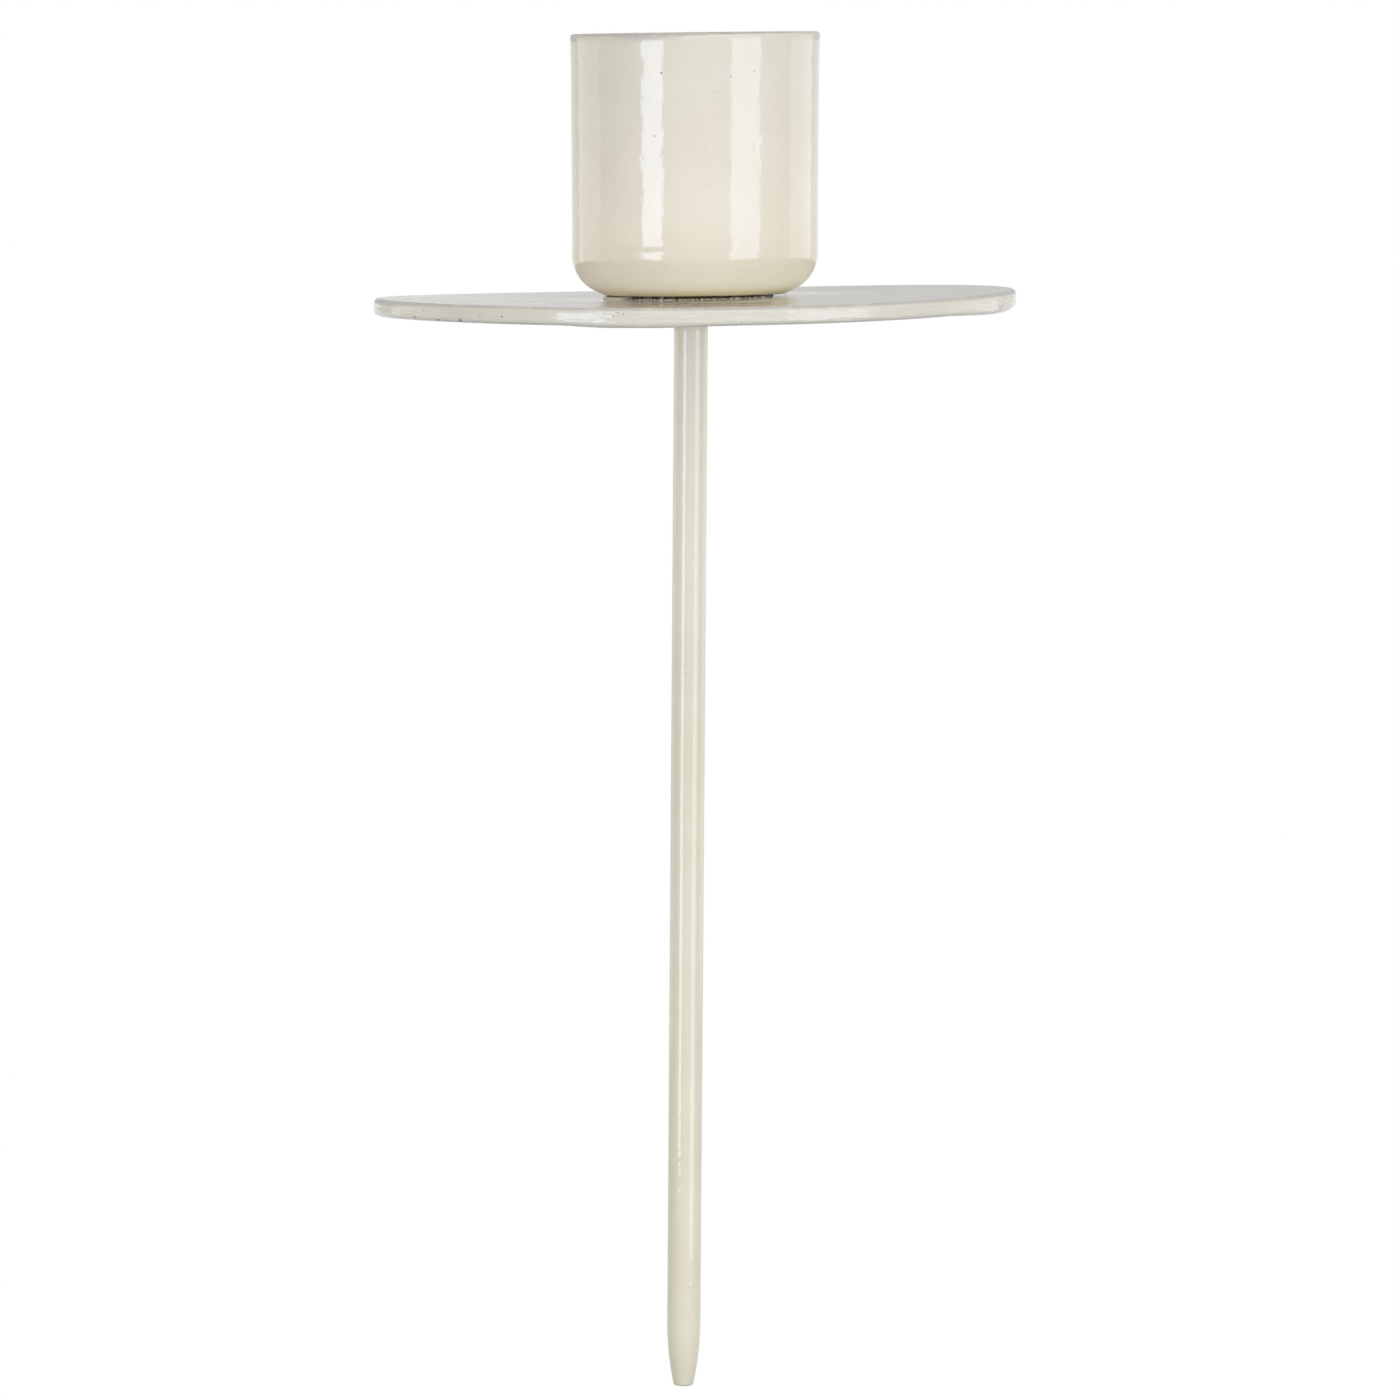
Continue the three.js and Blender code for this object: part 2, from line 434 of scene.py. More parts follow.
def enamel(name, peel, tint=(1, 1, 1), pool=CREAM_PAINTED_LIGHT, marks=None):
    """Glossy cream enamel: slightly uneven in colour and gloss, with an orange peel. It is paler
    where painted light stands in for bounced light and for light that a shadow takes away, and pool
    is that paler colour. It is yellower just above the seam, a painted bounce, and greyer and duller
    where the mesh greys its edges. Each layer of its peel is a pattern's scale, detail, roughness
    and height.
    marks gives its small pits and its runs as shares from 0 to 1."""
    material, tree = new_material(name)
    link = tree.links.new
    place = node(tree, "ShaderNodeTexCoord").outputs["Object"]

    def tinted(colour):
        return tuple(channel * share for channel, share in zip(colour, tint))

    thin = stored(tree, "thin_paint")
    cloud = mottle(tree, place, *PAINT_CLOUDS)
    flecks = mottle(tree, place, *PAINT_FLECKS)
    colour = blended(tree, ramp(tree, cloud, 0.35, 0.6, 0, 1), tinted(CREAM_DEEP), tinted(CREAM))
    # Painted light: paler where the mesh's share says so, for bounced light and against shadow.
    colour = blended(tree, stored(tree, "pooled_paint"), colour, tinted(pool))
    # Painted light: yellower just above the seam, a painted bounce from the plate.
    colour = blended(tree, stored(tree, "stained_paint"), colour, tinted(CREAM_PAINTED_BOUNCE))
    greying = times(tree, thin, ramp(tree, flecks, 0.35, 0.5, 0.65, 1))
    colour = blended(tree, greying, colour, tinted(EDGE_GREY))
    normal = None
    for scale, detail, roughness, height in PEEL_LAYERS:
        layer = mottle(tree, place, scale, detail, roughness)
        normal = raised(tree, layer, height * MM * peel, normal)
    if marks:
        pits, runs = marks(tree, place)
        colour = blended(tree, pits, colour, PIT_BROWN)
        normal = raised(tree, pits, -PIT_DEPTH * MM, normal)
        normal = raised(tree, runs, RUN_HEIGHT * MM, normal)
    paint = node(tree, "ShaderNodeBsdfPrincipled", IOR=PAINT_IOR)
    out = node(tree, "ShaderNodeOutputMaterial")
    dull = ramp(tree, cloud, 0, 1, *PAINT_DULLNESS)
    dull = times(tree, dull, ramp(tree, thin, 0, 0.12, 1, GREY_EDGE_DULLNESS))
    link(dull, paint.inputs["Roughness"])
    link(colour, paint.inputs["Base Color"])
    link(normal, paint.inputs["Normal"])
    link(paint.outputs[0], out.inputs["Surface"])
    return material


def base_flat():
    """Radius of the corner's centre."""
    corner_end = CUP_BASE + CUP_CORNER - CUP_CORNER * math.sin(CUP_DRAFT)
    return (CUP_RADIUS - (CUP_RIM - corner_end) * math.tan(CUP_DRAFT)
            - CUP_CORNER * math.cos(CUP_DRAFT))


def base_edge_radius():
    """Radius of the base's edge, where the paint has squared off the last of the corner."""
    rise = CUP_CORNER * (1 - math.cos(BASE_EDGE))
    return base_flat() + CUP_CORNER * math.sin(BASE_EDGE) - rise / math.tan(BASE_EDGE)


def cup_profile():
    """Outside and inside of the cup, from the middle of its base to the middle of its floor."""
    slope = math.tan(CUP_DRAFT)
    draft = math.degrees(CUP_DRAFT)
    floor_height = CUP_BASE + CUP_WALL
    corner_height = CUP_BASE + CUP_CORNER
    corner_r = base_flat()
    lip_height = CUP_RIM - LIP_ROUND
    outer_lip = CUP_RADIUS - LIP_ROUND * slope - LIP_ROUND / math.cos(CUP_DRAFT)
    inner_lip = outer_lip + 2 * LIP_ROUND - CUP_WALL
    corner_start = math.degrees(BASE_EDGE) - 90
    outer_corner = arc(corner_r, corner_height, CUP_CORNER, corner_start, -draft, 26)
    edge = (base_edge_radius(), CUP_BASE)
    outer_corner = ([(edge[0] - BASE_EDGE_ROUND, CUP_BASE), edge]
                    + straight(edge, outer_corner[0], 4) + outer_corner)
    outer_round = arc(outer_lip, lip_height, LIP_ROUND, -draft, 90, 10)
    inner_round = arc(inner_lip, lip_height, LIP_ROUND, 90, 180 - draft, 10)
    inner_corner = arc(corner_r, corner_height, CUP_CORNER - CUP_WALL, -draft, -90, 22)
    base = [(0, CUP_BASE)] + straight((0, CUP_BASE), outer_corner[0], 6)
    wall = straight(outer_corner[-1], outer_round[0], 44)
    inner_wall = straight(inner_round[-1], inner_corner[0], 22)
    cup_floor = straight(inner_corner[-1], (0, floor_height), 34) + [(0, floor_height)]
    return (base + outer_corner + wall + outer_round + inner_round + inner_wall + inner_corner
            + cup_floor)


def cup_sprung(x, y):
    """How far the edge of the cup's base has sprung up off the plate, most of all in front. The
    middle of the base stays down on the pips."""
    rise = SPRUNG_SIDES - (SPRUNG_FRONT - SPRUNG_SIDES) * y / CUP_RADIUS
    return rise * ease(math.hypot(x, y), *SPRUNG_RADII)


def cup_shift(point):
    """The thick edge of paint below the lip, the dents in the floor, the sprung edge of the base,
    and the cup's slant: it was jigged a little out of square, so its right side stands higher."""
    radius = math.hypot(point.x, point.y)
    above_base = point.z - CUP_BASE
    sprung = cup_sprung(point.x, point.y) * (1 - ease(above_base, *SPRUNG_HEIGHTS))
    offset = Vector((0, 0, CUP_SLANT * point.x + sprung))
    if radius > CUP_RADIUS - CUP_WALL / 2:
        from_edge = (CUP_RIM - point.z - LIP_PAINT_BELOW) / LIP_PAINT_SPREAD
        drawn_in = LIP_PAINT * (1 - math.exp(-from_edge ** 2))
        drawn_in *= ease(above_base, *LIP_PAINT_HEIGHTS)
        offset -= Vector((point.x, point.y, 0)).normalized() * drawn_in
    if radius < WELD_CIRCLE + 2 * DENT_RADIUS and CUP_WALL / 2 < above_base < 2 * CUP_WALL:
        for i in range(DENTS):
            angle = math.radians(90 + 360 * i / DENTS)
            away = math.hypot(point.x - WELD_CIRCLE * math.cos(angle),
                              point.y - WELD_CIRCLE * math.sin(angle)) / DENT_RADIUS
            offset.z -= DENT_DEPTH * math.exp(-(away * 1.25) ** 2 - (away * 1.05) ** 6)
    return offset


def cup_grey_edge(point):
    """Greyer and duller over the trimmed lip, furthest down on the front left."""
    angle = math.degrees(math.atan2(point.y, point.x))
    reach = (LIP_GREY_REACH + LIP_GREY_LEFT * ease(-point.x, *LIP_GREY_LEFT_X)
             + LIP_GREY_FRONT * math.exp(-((angle - LIP_GREY_ANGLE) / LIP_GREY_SPREAD) ** 2)
             + LIP_GREY_WAVE * math.sin(LIP_GREY_WAVES * point.x))
    return LIP_GREY * ease(point.z - CUP_RIM + reach, -LIP_GREY_FADE, LIP_GREY_FADE)


def cup_painted_light(point):
    """Painted light: paler round the bottom of the base corner, standing in for light bounced up
    from the plate.
    """
    if math.hypot(point.x, point.y) < BASE_HIDDEN:
        return 0
    return ease(CUP_BASE + PAINTED_LIGHT_HEIGHT - point.z, 0, 3.2)


def cup_painted_bounce(point):
    """Painted light: the last millimetre above the seam is paler and yellower, a painted bounce from
    the plate.
    """
    if math.hypot(point.x, point.y) < BASE_HIDDEN:
        return 0
    return ease(CUP_BASE + PAINTED_BOUNCE_HEIGHT - point.z, 0.1, 0.9)


def on_wall(x, z, size):
    """A spot on the front of the cup's wall."""
    wall = CUP_RADIUS - (CUP_RIM - z) * math.tan(CUP_DRAFT)
    return (x, -math.sqrt(wall ** 2 - x ** 2), z, size)


def swayed(tree, value, pattern, width):
    """A length that a pattern pushes up by as much as width millimetres."""
    sway = node(tree, "ShaderNodeMath", operation="MULTIPLY_ADD")
    sway.inputs[1].default_value = width * MM
    tree.links.new(pattern, sway.inputs[0])
    tree.links.new(value, sway.inputs[2])
    return sway.outputs[0]


def within(tree, value, rise, fall):
    """1 between two places and 0 beyond them, each given as the millimetres that it fades over."""
    rising = ramp(tree, value, rise[0] * MM, rise[1] * MM, 0, 1)
    return times(tree, rising, ramp(tree, value, fall[0] * MM, fall[1] * MM, 1, 0))


def hairline(tree, place, x, z):
    """The scratch: a fine line that runs down and to the right, broken into dots."""
    dots = mottle(tree, place, 1700, 2, 0.6)
    course = ramp(tree, z, SCRATCH_HEIGHTS[0] * MM, SCRATCH_HEIGHTS[1] * MM,
                  SCRATCH_X[0] * MM, SCRATCH_X[1] * MM)
    aside = node(tree, "ShaderNodeMath", operation="SUBTRACT")
    across = node(tree, "ShaderNodeMath", operation="ABSOLUTE")
    tree.links.new(x, aside.inputs[0])
    tree.links.new(swayed(tree, course, dots, SCRATCH_SWAY), aside.inputs[1])
    tree.links.new(aside.outputs[0], across.inputs[0])
    line = ramp(tree, across.outputs[0], SCRATCH_WIDTH[0] * MM, SCRATCH_WIDTH[1] * MM, 1, 0)
    line = times(tree, line, within(tree, z, *SCRATCH_FADES))
    return times(tree, line, ramp(tree, dots, 0.47, 0.56, 0, 1))


def paint_run(tree, place, x, z):
    """The run: a low step in the paint with a ragged upper edge."""
    ragged = swayed(tree, z, mottle(tree, place, 1300, 2, 0.6), RUN_SWAY)
    step = ramp(tree, ragged, RUN_BELOW[0] * MM, RUN_BELOW[1] * MM, 1, 0)
    step = times(tree, step, ramp(tree, z, RUN_ABOVE[0] * MM, RUN_ABOVE[1] * MM, 0, 1))
    return times(tree, step, within(tree, x, *RUN_X))


def cup_marks(tree, place):
    """Pinholes, faint smears, one dotted hairline scratch down the front, and a run in the paint
    low down on the left, which breaks the left band of gloss."""
    pits = spots(tree, place, [on_wall(*pit) for pit in CUP_PITS])
    smears = spots(tree, place, [on_wall(*smear) for smear in CUP_SMEARS])
    split = node(tree, "ShaderNodeSeparateXYZ")
    tree.links.new(place, split.inputs[0])
    x, y, z = (split.outputs[axis] for axis in "XYZ")
    front = ramp(tree, y, FRONT_ONLY[0] * MM, FRONT_ONLY[1] * MM, 1, 0)
    scratch = times(tree, hairline(tree, place, x, z), front)
    faint = times(tree, larger(tree, scratch, smears), MARKS_FAINT)
    return larger(tree, pits, faint), times(tree, paint_run(tree, place, x, z), front)


cup = turned("cup_shell", cup_profile(), CUP_SIDES, cup_shift,
             thin_paint=cup_grey_edge, pooled_paint=cup_painted_light, stained_paint=cup_painted_bounce)
cup.data.materials.append(enamel("cup_enamel", peel=1.6, marks=cup_marks))
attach(cup, "root")
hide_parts("candle_cup")


# Cup welds. Three pips of the cup's own steel, squashed flat between the cup and the plate by the
# projection welder. The paint didn't reach them, so they stay dull grey and a little scaly.
WELD_DARK = (0.07, 0.055, 0.045)
WELD_LIGHT = (0.27, 0.25, 0.23)
WELD_SCALE = 0.04


def weld_steel():
    material, tree = new_material("weld_steel")
    link = tree.links.new
    place = node(tree, "ShaderNodeTexCoord").outputs["Object"]
    scaly = mottle(tree, place, 2600, 4, 0.6)
    rough = node(tree, "ShaderNodeBump", Strength=0.6, Distance=WELD_SCALE * MM)
    steel = node(tree, "ShaderNodeBsdfPrincipled", Metallic=0.9, Roughness=0.5)
    out = node(tree, "ShaderNodeOutputMaterial")
    link(blended(tree, scaly, WELD_DARK, WELD_LIGHT), steel.inputs["Base Color"])
    link(scaly, rough.inputs["Height"])
    link(rough.outputs["Normal"], steel.inputs["Normal"])
    link(steel.outputs[0], out.inputs["Surface"])
    return material


pip_material = weld_steel()
for pip_name in ("cup_weld_1", "cup_weld_2", "cup_weld_3"):
    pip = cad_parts[pip_name]
    pip.data.materials.clear()
    pip.data.materials.append(pip_material)


# Drip plate. A disc blanked from sheet and tumbled until both edges are round, where its enamel is
# greyer and duller. Welding pulled it out of flat: it slants up to the right and to the front, its
# sides stand up by half a millimetre, and it has a little twist.
PLATE_RADIUS = 32.15
PLATE_THICK = 1.75
PLATE_EDGE = 0.5
PLATE_FLAT = PLATE_RADIUS - PLATE_EDGE
PLATE_SIDES = 384
RIGHT_UP = 0.466
FRONT_UP = 0.25
SIDES_UP = 0.484
TWIST = 0.228
POOL_ROUND = 0.06
POOL_RIGHT = 0.06
POOL_FRONT = 0.05
POOL_INSIDE = (6.5, 8.3)
POOL_OUTSIDE = (8.6, 20)
BURR_WIDTH = 0.3
BURR_LEFT = 0.18
BURR_LEFT_X = ((-13.5, -8.5), (-5, 4.5))
BURR_RIGHT = 0.24
BURR_RIGHT_X = (24.5, 29.5)
BURR_RIGHT_FRONT = (0.05, 0.3)
# Painted shadow of the burr: where the grey line above it runs, how high it lies, and how wide it
# is.
BURR_SHADOW_X = ((27.5, 28.8), (30.3, 30.8))
BURR_SHADOW_HEIGHT = 0.04
BURR_SHADOW_RISE = 0.16
BURR_SHADOW_RISE_FROM = 28.6
BURR_SHADOW_WIDTH = 0.08
EDGE_GREY_BAND = 0.12
EDGE_GREY_UPPER = 0.68
EDGE_GREY_UPPER_ANGLES = ((15, 40), (76, 90))
EDGE_GREY_LOWER = 0.2
EDGE_GREY_LOWER_ANGLES = ((25, 50), (80, 90))
# Painted light: the plate's top is paler within these radii round the cup.
PAINTED_LIGHT_RADII = (11, 22)
PLATE_PITS = ((-27.5, 0.3, 0.22), (-25.05, 0.16, 0.24), (-22.85, 0.2, 0.32), (-31.05, 0.9, 0.16),
              (-20.9, 0.65, 0.12), (-18.7, 0.73, 0.15), (-16.7, 0.1, 0.14), (-26.6, 1.0, 0.11),
              (-8.7, 1.25, 0.08), (-7.9, 0.95, 0.08), (-7.4, 1.3, 0.09), (-6.9, 1.2, 0.08),
              (-8.3, 0.75, 0.07), (4.5, 0.3, 0.07), (15.6, 0.35, 0.07))
PLATE_RUNS = 0.44


def plate_profile():
    """From the middle of the underside round the edge to the middle of the top."""
    low = arc(PLATE_FLAT, PLATE_EDGE, PLATE_EDGE, -90, 0, 10)
    high = arc(PLATE_FLAT, PLATE_THICK - PLATE_EDGE, PLATE_EDGE, 0, 90, 10)
    under = [(0, 0)] + straight((0, 0), low[0], 24)
    side = straight(low[-1], high[0], 6)
    top = straight(high[-1], (0, PLATE_THICK), 48) + [(0, PLATE_THICK)]
    return under + low + side + high + top


def between(value, rise, fall):
    """1 between two places and 0 beyond them, each given as what it fades over."""
    return ease(value, *rise) * (1 - ease(value, *fall))


def plate_bend(point):
    """How far the plate is out of flat, the paint that has collected on it round the cup's foot,
    and the burrs that its lower edge kept in front, left of the middle and at the right end."""
    across, back = point.x / PLATE_FLAT, point.y / PLATE_FLAT
    rise = (RIGHT_UP * across - FRONT_UP * back + SIDES_UP * across ** 2
            + TWIST * across * back)
    radius = math.hypot(point.x, point.y)
    if point.z > PLATE_THICK / 2 and POOL_INSIDE[0] < radius < POOL_OUTSIDE[1]:
        pool = POOL_ROUND + (POOL_RIGHT * point.x - POOL_FRONT * point.y) / radius
        rise += pool * between(radius, POOL_INSIDE, POOL_OUTSIDE)
    if back < 0 and point.z < PLATE_EDGE and radius > PLATE_FLAT - BURR_WIDTH:
        rise -= BURR_LEFT * between(point.x, *BURR_LEFT_X)
        rise -= BURR_RIGHT * ease(point.x, *BURR_RIGHT_X) * ease(-back, *BURR_RIGHT_FRONT)
    return Vector((0, 0, rise))


def plate_grey_edge(point):
    """Greyer and duller on the plate's edge, most of all over its tumbled corners. Along a line
    above the burr at the right end the grey is a painted shadow of the burr."""
    beyond = math.hypot(point.x, point.y) - PLATE_FLAT
    if beyond < 0:
        return 0
    upper = math.degrees(math.atan2(point.z - (PLATE_THICK - PLATE_EDGE), beyond))
    lower = math.degrees(math.atan2(PLATE_EDGE - point.z, beyond))
    thin = (EDGE_GREY_BAND + EDGE_GREY_UPPER * between(upper, *EDGE_GREY_UPPER_ANGLES)
            + EDGE_GREY_LOWER * between(lower, *EDGE_GREY_LOWER_ANGLES))
    if point.y > 0:
        return thin
    # Painted shadow: a grey line just above the burr at the right end stands in for the burr's
    # shadow.
    shadow_line = BURR_SHADOW_HEIGHT + BURR_SHADOW_RISE * max(point.x - BURR_SHADOW_RISE_FROM, 0) ** 1.8
    away = (point.z - shadow_line) / BURR_SHADOW_WIDTH
    return max(thin, between(point.x, *BURR_SHADOW_X) * math.exp(-away ** 2))


def plate_painted_light(point):
    """Painted light: paler on the top round the foot of the cup, so that it throws more light up
    onto the cup's corner.
    """
    if point.z < PLATE_THICK / 2:
        return 0
    return 1 - ease(math.hypot(point.x, point.y), *PAINTED_LIGHT_RADII)


def on_band(x, z, size):
    """A spot on the front of the plate's edge, at a height above its underside."""
    under = max(PLATE_EDGE - z, 0)
    radius = PLATE_FLAT + math.sqrt(PLATE_EDGE ** 2 - under ** 2)
    back = -math.sqrt(radius ** 2 - x ** 2)
    return (x, back, z + plate_bend(Vector((x, back, z))).z, size)


def plate_marks(tree, place):
    """Pinholes along the edge, where air was left under the paint, and faint runs along it."""
    flat = node(tree, "ShaderNodeMapping", Scale=(0.5, 0.5, 3))
    tree.links.new(place, flat.inputs["Vector"])
    drawn = ramp(tree, mottle(tree, flat.outputs[0], 700, 2, 0.6), 0.3, 0.7, 0, PLATE_RUNS)
    on_edge = ramp(tree, stored(tree, "thin_paint"), 0, EDGE_GREY_BAND, 0.2, 1)
    return spots(tree, place, [on_band(*pit) for pit in PLATE_PITS]), times(tree, on_edge, drawn)


plate = turned("plate_disc", plate_profile(), PLATE_SIDES, plate_bend,
               thin_paint=plate_grey_edge, pooled_paint=plate_painted_light)
plate.data.materials.append(enamel("plate_enamel", peel=1.1, marks=plate_marks))
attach(plate, "root")
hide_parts("drip_plate")


# Seam. The gap under the cup, which the pips hold open. A ring stops it all round, dark brown where
# it is open, which is a painted shade of the gap's depths. Paint has run into it on the left, at the
# back and a little on the right, and has bridged it in two spots in front. That paint is paler than
# the cup's, a painted light, and the ring keeps a painted shade of brown along its top and on the
# right.
SEAM_SIDES = 720
SEAM_OPEN = 8.4
SEAM_CLOSED = 8.9
SEAM_RIGHT = 7.75
SEAM_DEPTH = 0.9
SEAM_RAGGED = 0.06
SEAM_FOOT = 0.35
SEAM_FOOT_RIGHT = 0.3
SEAM_PATCHY = 0.35
# Painted shade: the brown kept on the right where paint has closed the gap, and the dark line along
# the top of the closed parts.
SEAM_BROWN_RIGHT = 0.4
SEAM_TOP_FROM = 0.7
SEAM_TOP_SHADE = 0.8
SEAM_SEEDS = (3.7, 8.1)
SEAM_BULGE = ((1.0, 0.0), (0.98, 0.2), (0.8, 0.42), (0.5, 0.6), (0.2, 0.69))
SEAM_HOLLOW = 0.1
SEAM_LAP = 0.01
OPEN_ANGLES = ((211, 229), (319, 324))
BRIDGES = ((247.9, 0.6), (322.4, 1.3))
RIGHT_COSINES = (0.55, 0.8)
# Painted light: the seam's cream is paler than the cup's. Painted shade: the browns stand in for the
# gap's dark; the grains use them too.
SEAM_CREAM_PAINTED_LIGHT = (1.000, 0.965, 0.880)
FLUX_AND_SHADE_BROWN = (0.170, 0.088, 0.036)
FLUX_AND_SHADE_DARK = (0.0765, 0.0396, 0.0162)
SPECKLE_HEIGHT = 0.04


def cup_under(radius):
    """Height of the cup's underside, before it springs and slants."""
    return CUP_BASE + max(radius - base_edge_radius(), 0) * math.tan(BASE_EDGE)


def plate_at(x, y):
    """Height of the plate's top."""
    return PLATE_THICK + plate_bend(Vector((x, y, PLATE_THICK))).z


def wander(angle, seed):
    """A ragged value from about -1 to 1 that closes on itself round the seam."""
    place = Vector((math.cos(angle), math.sin(angle), seed))
    return noise.noise(place * 9) + 0.6 * noise.noise(place * 31)


def seam_closed(angle):
    """1 where paint has closed the seam and 0 where it is open, at an angle in degrees."""
    around = angle % 360
    bridged = sum(math.exp(-((around - middle) / width) ** 2) for middle, width in BRIDGES)
    return min(1 - between(around, *OPEN_ANGLES) + bridged, 1)


def seam_ring():
    """The ring that stops the gap, bulging out of it where paint has closed it. Its share of dark
    brown, a painted shade of the gap, is stored at each point."""
    build = bmesh.new()
    brown_share = build.verts.layers.float.new("brown_share")
    rings = []
    for i in range(SEAM_SIDES):
        angle = 2 * math.pi * i / SEAM_SIDES
        closed = seam_closed(math.degrees(angle))
        right = ease(math.cos(angle), *RIGHT_COSINES)
        filled = SEAM_CLOSED + (SEAM_RIGHT - SEAM_CLOSED) * right
        ragged, patchy = (wander(angle, seed) for seed in SEAM_SEEDS)
        reach = SEAM_OPEN + (filled - SEAM_OPEN) * closed + SEAM_RAGGED * ragged
        brown = (1 - closed * (1 - SEAM_BROWN_RIGHT * right)) * (1 + SEAM_PATCHY * patchy)
        brown = min(max(brown, 0), 1)
        foot = SEAM_FOOT * closed * (1 - (1 - SEAM_FOOT_RIGHT) * right)
        hollow = SEAM_HOLLOW * closed
        section = [(foot * out, share) for out, share in SEAM_BULGE]
        section += [(-hollow / 2, 0.74), (-hollow, 1), (-SEAM_DEPTH, 1), (-SEAM_DEPTH, 0)]
        ring = []
        for out, share in section:
            radius = reach + out
            x, y = radius * math.cos(angle), radius * math.sin(angle)
            low = plate_at(x, y) - SEAM_LAP
            high = cup_under(radius) + SEAM_LAP + CUP_SLANT * x + cup_sprung(x, y)
            corner = build.verts.new(Vector((x, y, low + (high - low) * share)) * MM)
            # Painted shade: brown on the open ring, on the right, and along the top of the closed
            # parts.
            corner[brown_share] = max(brown, SEAM_TOP_SHADE * closed if share > SEAM_TOP_FROM else 0)
            ring.append(corner)
        rings.append(ring)
    for i, ring in enumerate(rings):
        after = rings[(i + 1) % SEAM_SIDES]
        for k in range(len(ring)):
            m = (k + 1) % len(ring)
            build.faces.new((ring[k], after[k], after[m], ring[m])).smooth = True
    bmesh.ops.recalc_face_normals(build, faces=build.faces)
    mesh = bpy.data.meshes.new("seam_paint")
    build.to_mesh(mesh)
    build.free()
    piece = bpy.data.objects.new("seam_paint", mesh)
    bpy.context.scene.collection.objects.link(piece)
    return piece


def seam_enamel():
    """Cream paint, paler than the cup's as a painted light, that passes into dull dark brown, a
    painted shade of the gap.
    """
    material, tree = new_material("seam_enamel")
    link = tree.links.new
    place = node(tree, "ShaderNodeTexCoord").outputs["Object"]
    speckle = mottle(tree, place, 3200, 3, 0.6)
    brown_share = stored(tree, "brown_share")
    flux_and_shade = blended(tree, ramp(tree, speckle, 0.4, 0.65, 0, 1), FLUX_AND_SHADE_DARK, FLUX_AND_SHADE_BROWN)
    paint = node(tree, "ShaderNodeBsdfPrincipled", IOR=PAINT_IOR)
    paint.inputs["Specular IOR Level"].default_value = 0.3
    out = node(tree, "ShaderNodeOutputMaterial")
    link(blended(tree, brown_share, SEAM_CREAM_PAINTED_LIGHT, flux_and_shade), paint.inputs["Base Color"])
    link(ramp(tree, brown_share, 0, 1, 0.15, 0.6), paint.inputs["Roughness"])
    link(raised(tree, speckle, SPECKLE_HEIGHT * MM), paint.inputs["Normal"])
    link(paint.outputs[0], out.inputs["Surface"])
    return material


seam = seam_ring()
seam.data.materials.append(seam_enamel())
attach(seam, "root")


# Seam grains. Flux and paint that boiled out of the front of the gap and set on the plate in two
# rows of small grains, from cream to brown. They follow the seam round its open part.
# Painted light: the grains' cream is the seam's paler cream.
GRAIN_ARC = (209, 323)
GRAIN_STEP = 0.11
GRAIN_ROW = 8.72
GRAIN_ROWS_APART = 0.12
GRAIN_STRAY = 0.09
GRAIN_STRAY_SEEDS = (2.0, 3.0)
GRAIN_LIFT = 0.02
GRAIN_RADIUS = 0.105
GRAIN_LEAST = (0.7, 0.7, 0.35)
GRAIN_MOST = (1.5, 1.5, 1.15)
GRAIN_BROWN = (0.2, 1.0)
GRAIN_SEED = 5


def geometry_tree(name, sizes):
    """An empty geometry tree with a named input for each of the sizes, and the node for them."""
    tree = bpy.data.node_groups.new(name, "GeometryNodeTree")
    tree.interface.new_socket("Geometry", in_out="INPUT", socket_type="NodeSocketGeometry")
    for key, value in sizes.items():
        kind = "NodeSocketInt" if isinstance(value, int) else "NodeSocketFloat"
        tree.interface.new_socket(key, in_out="INPUT", socket_type=kind)
    tree.interface.new_socket("Geometry", in_out="OUTPUT", socket_type="NodeSocketGeometry")
    given = tree.nodes.new("NodeGroupInput")
    return tree, given


def grown(name, base_mesh, tree, sizes):
    """The plain mesh object that a geometry tree makes of a mesh."""
    source = bpy.data.objects.new(name + "_source", base_mesh)
    bpy.context.scene.collection.objects.link(source)
    modifier = source.modifiers.new("shape", "NODES")
    modifier.node_group = tree
    for item in tree.interface.items_tree:
        if item.in_out == "INPUT" and item.name in sizes:
            modifier[item.identifier] = sizes[item.name]
    evaluated = source.evaluated_get(bpy.context.evaluated_depsgraph_get())
    mesh = bpy.data.meshes.new_from_object(evaluated)
    mesh.name = name
    source.modifiers.remove(modifier)
    bpy.data.objects.remove(source)
    piece = bpy.data.objects.new(name, mesh)
    bpy.context.scene.collection.objects.link(piece)
    return piece


